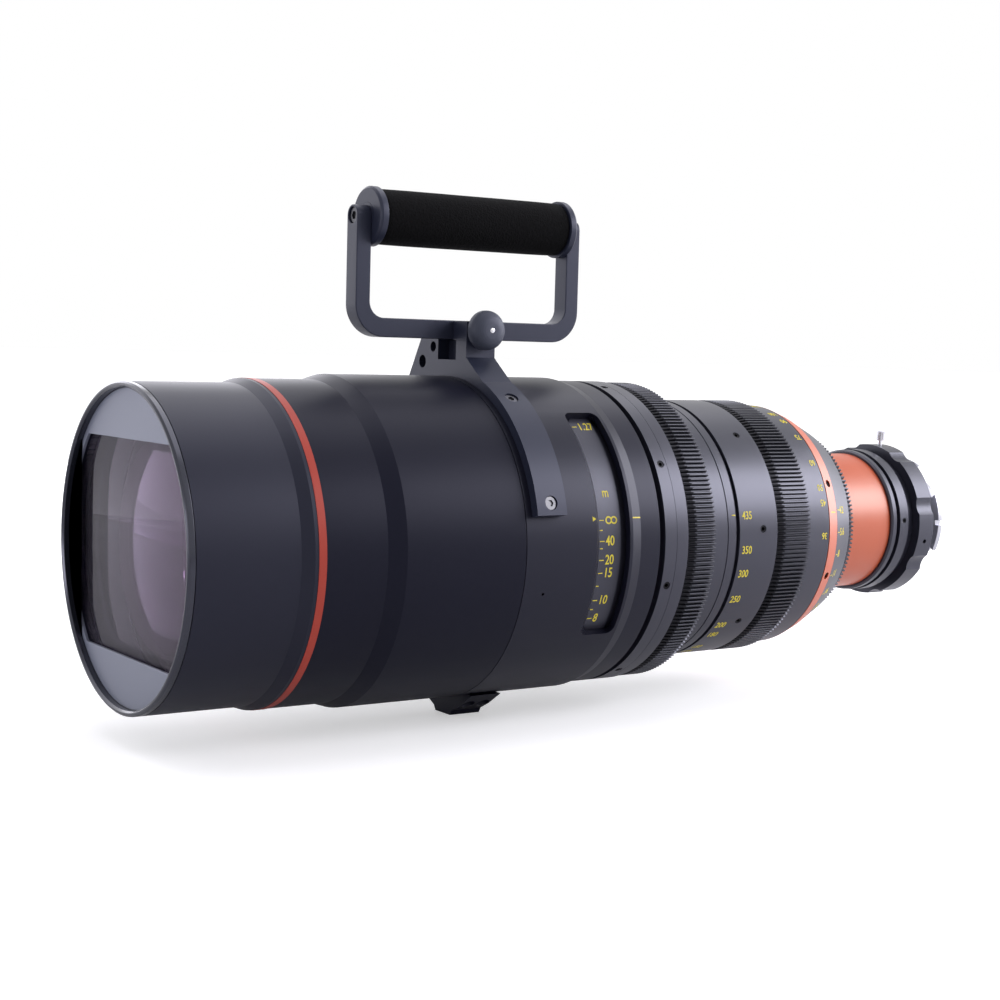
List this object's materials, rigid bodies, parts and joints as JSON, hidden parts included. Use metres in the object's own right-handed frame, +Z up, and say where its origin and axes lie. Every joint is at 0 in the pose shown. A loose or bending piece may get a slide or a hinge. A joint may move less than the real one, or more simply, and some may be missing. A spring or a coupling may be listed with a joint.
{
  "type": "cinema zoom lens",
  "caption": "Long round zoom lens with toothed focus, zoom and iris rings, scale window, rear mount, and a carrying handle on a wishbone saddle.",
  "frame": {"origin": "centre of the rear mount's seat, on the optical axis", "axes": "+Y along the optical axis towards the camera, the front glass faces -Y, +Z up towards the handle, +X the side with the scale window"},
  "size_m": [0.1784, 0.5412, 0.2801],
  "materials": {
    "bezel": "satin black anodised",
    "mask": "satin grey anodised",
    "barrel": "satin blue-black anodised",
    "accent": "satin red-orange anodised",
    "inner": "matt black anodised",
    "drum": "matt black with yellow numerals",
    "gear": "black anodised, machined teeth",
    "glass_front": "multi-coated optical glass",
    "glass_inner": "multi-coated optical glass",
    "screw": "plain steel",
    "screw_black": "blackened steel",
    "steel": "ground steel",
    "cam": "turned brass",
    "mount": "ground stainless steel",
    "slate": "satin slate-grey anodised",
    "foam": "closed-cell black foam",
    "knob": "black anodised"
  },
  "bodies": {
    "housing": {"front_rim": "bezel", "light_mask": "mask", "front_barrel": "barrel", "accent_ring": "accent", "main_barrel": "barrel", "focus_housing": "barrel", "front_cell": "inner", "front_element": "glass_front", "second_element": "glass_inner", "front_tube": "inner", "core_housing": "inner", "index_ring": "barrel", "guide_tube": "inner", "end_ring": "accent", "end_ring_screws": "screw_black", "iris_base": "steel", "rear_barrel": "accent", "relay_cell": "inner", "relay_element": "glass_inner", "rear_collar": "barrel", "collar_screws": "screw_black", "mount_plate": "mount", "rear_element": "glass_inner", "saddle": "slate", "saddle_screws": "screw", "foot": "barrel", "foot_screws": "screw", "clamp_jaw": "slate"},
    "focus_ring": {"scale_drum": "drum", "focus_ring": "barrel", "focus_gear": "gear", "focus_ring_screws": "screw"},
    "focus_group": {"focus_cell": "inner", "focus_element": "glass_inner"},
    "zoom_ring": {"zoom_ring": "barrel", "zoom_gear": "gear", "zoom_ring_screws": "screw_black", "zoom_cam": "cam", "zoom_drive_pin": "steel"},
    "variator": {"variator_cell": "inner", "variator_element": "glass_inner"},
    "compensator": {"compensator_cell": "inner", "compensator_element": "glass_inner"},
    "iris_ring": {"iris_ring": "barrel", "iris_gear": "gear"},
    "backfocus_ring": {"backfocus_ring": "barrel"},
    "lock_screw": {"lock_screw": "steel"},
    "handle": {"handle_frame": "slate", "grip_rod": "steel", "grip_foam": "foam", "grip_caps": "slate", "handle_screws": "screw"},
    "clamp_knob": {"clamp_knob": "knob"},
    "blade_1": {"iris_blade_1": "screw_black"},
    "blade_2": {"iris_blade_2": "screw_black"},
    "blade_3": {"iris_blade_3": "screw_black"},
    "blade_4": {"iris_blade_4": "screw_black"},
    "blade_5": {"iris_blade_5": "screw_black"},
    "blade_6": {"iris_blade_6": "screw_black"},
    "blade_7": {"iris_blade_7": "screw_black"}
  },
  "joints": [
    {"name": "focus_turn", "type": "hinge", "parent": "housing", "child": "focus_ring", "pos_m": [0, -0.2352, 0], "axis": [0, -1, 0], "range_deg": [0, 322]},
    {"name": "focus_slide", "type": "slide", "parent": "housing", "child": "focus_group", "axis": [0, -1, 0], "range_m": [0, 0.0301]},
    {"name": "zoom_turn", "type": "hinge", "parent": "housing", "child": "zoom_ring", "pos_m": [0, -0.1597, 0], "axis": [0, -1, 0], "range_deg": [0, 170]},
    {"name": "variator_slide", "type": "slide", "parent": "housing", "child": "variator", "axis": [0, -1, 0], "range_m": [0, 0.0701]},
    {"name": "compensator_slide", "type": "slide", "parent": "housing", "child": "compensator", "axis": [0, -1, 0], "range_m": [0, 0.0201]},
    {"name": "iris_turn", "type": "hinge", "parent": "housing", "child": "iris_ring", "pos_m": [0, -0.0987, 0], "axis": [0, -1, 0], "range_deg": [0, 75]},
    {"name": "blade_1_swing", "type": "hinge", "parent": "housing", "child": "blade_1", "pos_m": [0.0399, -0.1162, 0], "axis": [0, -1, 0], "range_deg": [0, 36.1]},
    {"name": "blade_2_swing", "type": "hinge", "parent": "housing", "child": "blade_2", "pos_m": [0.02488, -0.1162, 0.0312], "axis": [0, -1, 0], "range_deg": [0, 36.1]},
    {"name": "blade_3_swing", "type": "hinge", "parent": "housing", "child": "blade_3", "pos_m": [-0.00888, -0.1162, 0.0389], "axis": [0, -1, 0], "range_deg": [0, 36.1]},
    {"name": "blade_4_swing", "type": "hinge", "parent": "housing", "child": "blade_4", "pos_m": [-0.03595, -0.1162, 0.01731], "axis": [0, -1, 0], "range_deg": [0, 36.1]},
    {"name": "blade_5_swing", "type": "hinge", "parent": "housing", "child": "blade_5", "pos_m": [-0.03595, -0.1162, -0.01731], "axis": [0, -1, 0], "range_deg": [0, 36.1]},
    {"name": "blade_6_swing", "type": "hinge", "parent": "housing", "child": "blade_6", "pos_m": [-0.00888, -0.1162, -0.0389], "axis": [0, -1, 0], "range_deg": [0, 36.1]},
    {"name": "blade_7_swing", "type": "hinge", "parent": "housing", "child": "blade_7", "pos_m": [0.02488, -0.1162, -0.0312], "axis": [0, -1, 0], "range_deg": [0, 36.1]},
    {"name": "backfocus_turn", "type": "hinge", "parent": "housing", "child": "backfocus_ring", "pos_m": [0, -0.023, 0], "axis": [0, -1, 0], "range_deg": [-12, 12]},
    {"name": "lock_turn", "type": "hinge", "parent": "backfocus_ring", "child": "lock_screw", "pos_m": [0.00523, -0.023, 0.04973], "axis": [0.1045, 0, 0.9945], "range_deg": [0, 270]},
    {"name": "handle_slide", "type": "slide", "parent": "housing", "child": "handle", "axis": [0, 1, 0], "range_m": [-0.015, 0.015]},
    {"name": "clamp_turn", "type": "hinge", "parent": "housing", "child": "clamp_knob", "pos_m": [0.025, -0.3372, 0.1106], "axis": [1, 0, 0], "range_deg": [0, 270]}
  ],
  "couplings": [
    {"joint": "focus_slide", "follows": "focus_turn", "m_per_rad": 0.0053381},
    {"joint": "variator_slide", "follows": "zoom_turn", "m_per_rad": 0.023592},
    {"joint": "compensator_slide", "follows": "zoom_turn", "m_per_rad": 0.0067407},
    {"joint": "blade_1_swing", "follows": "iris_turn", "ratio": 0.48},
    {"joint": "blade_2_swing", "follows": "iris_turn", "ratio": 0.48},
    {"joint": "blade_3_swing", "follows": "iris_turn", "ratio": 0.48},
    {"joint": "blade_4_swing", "follows": "iris_turn", "ratio": 0.48},
    {"joint": "blade_5_swing", "follows": "iris_turn", "ratio": 0.48},
    {"joint": "blade_6_swing", "follows": "iris_turn", "ratio": 0.48},
    {"joint": "blade_7_swing", "follows": "iris_turn", "ratio": 0.48}
  ]
}
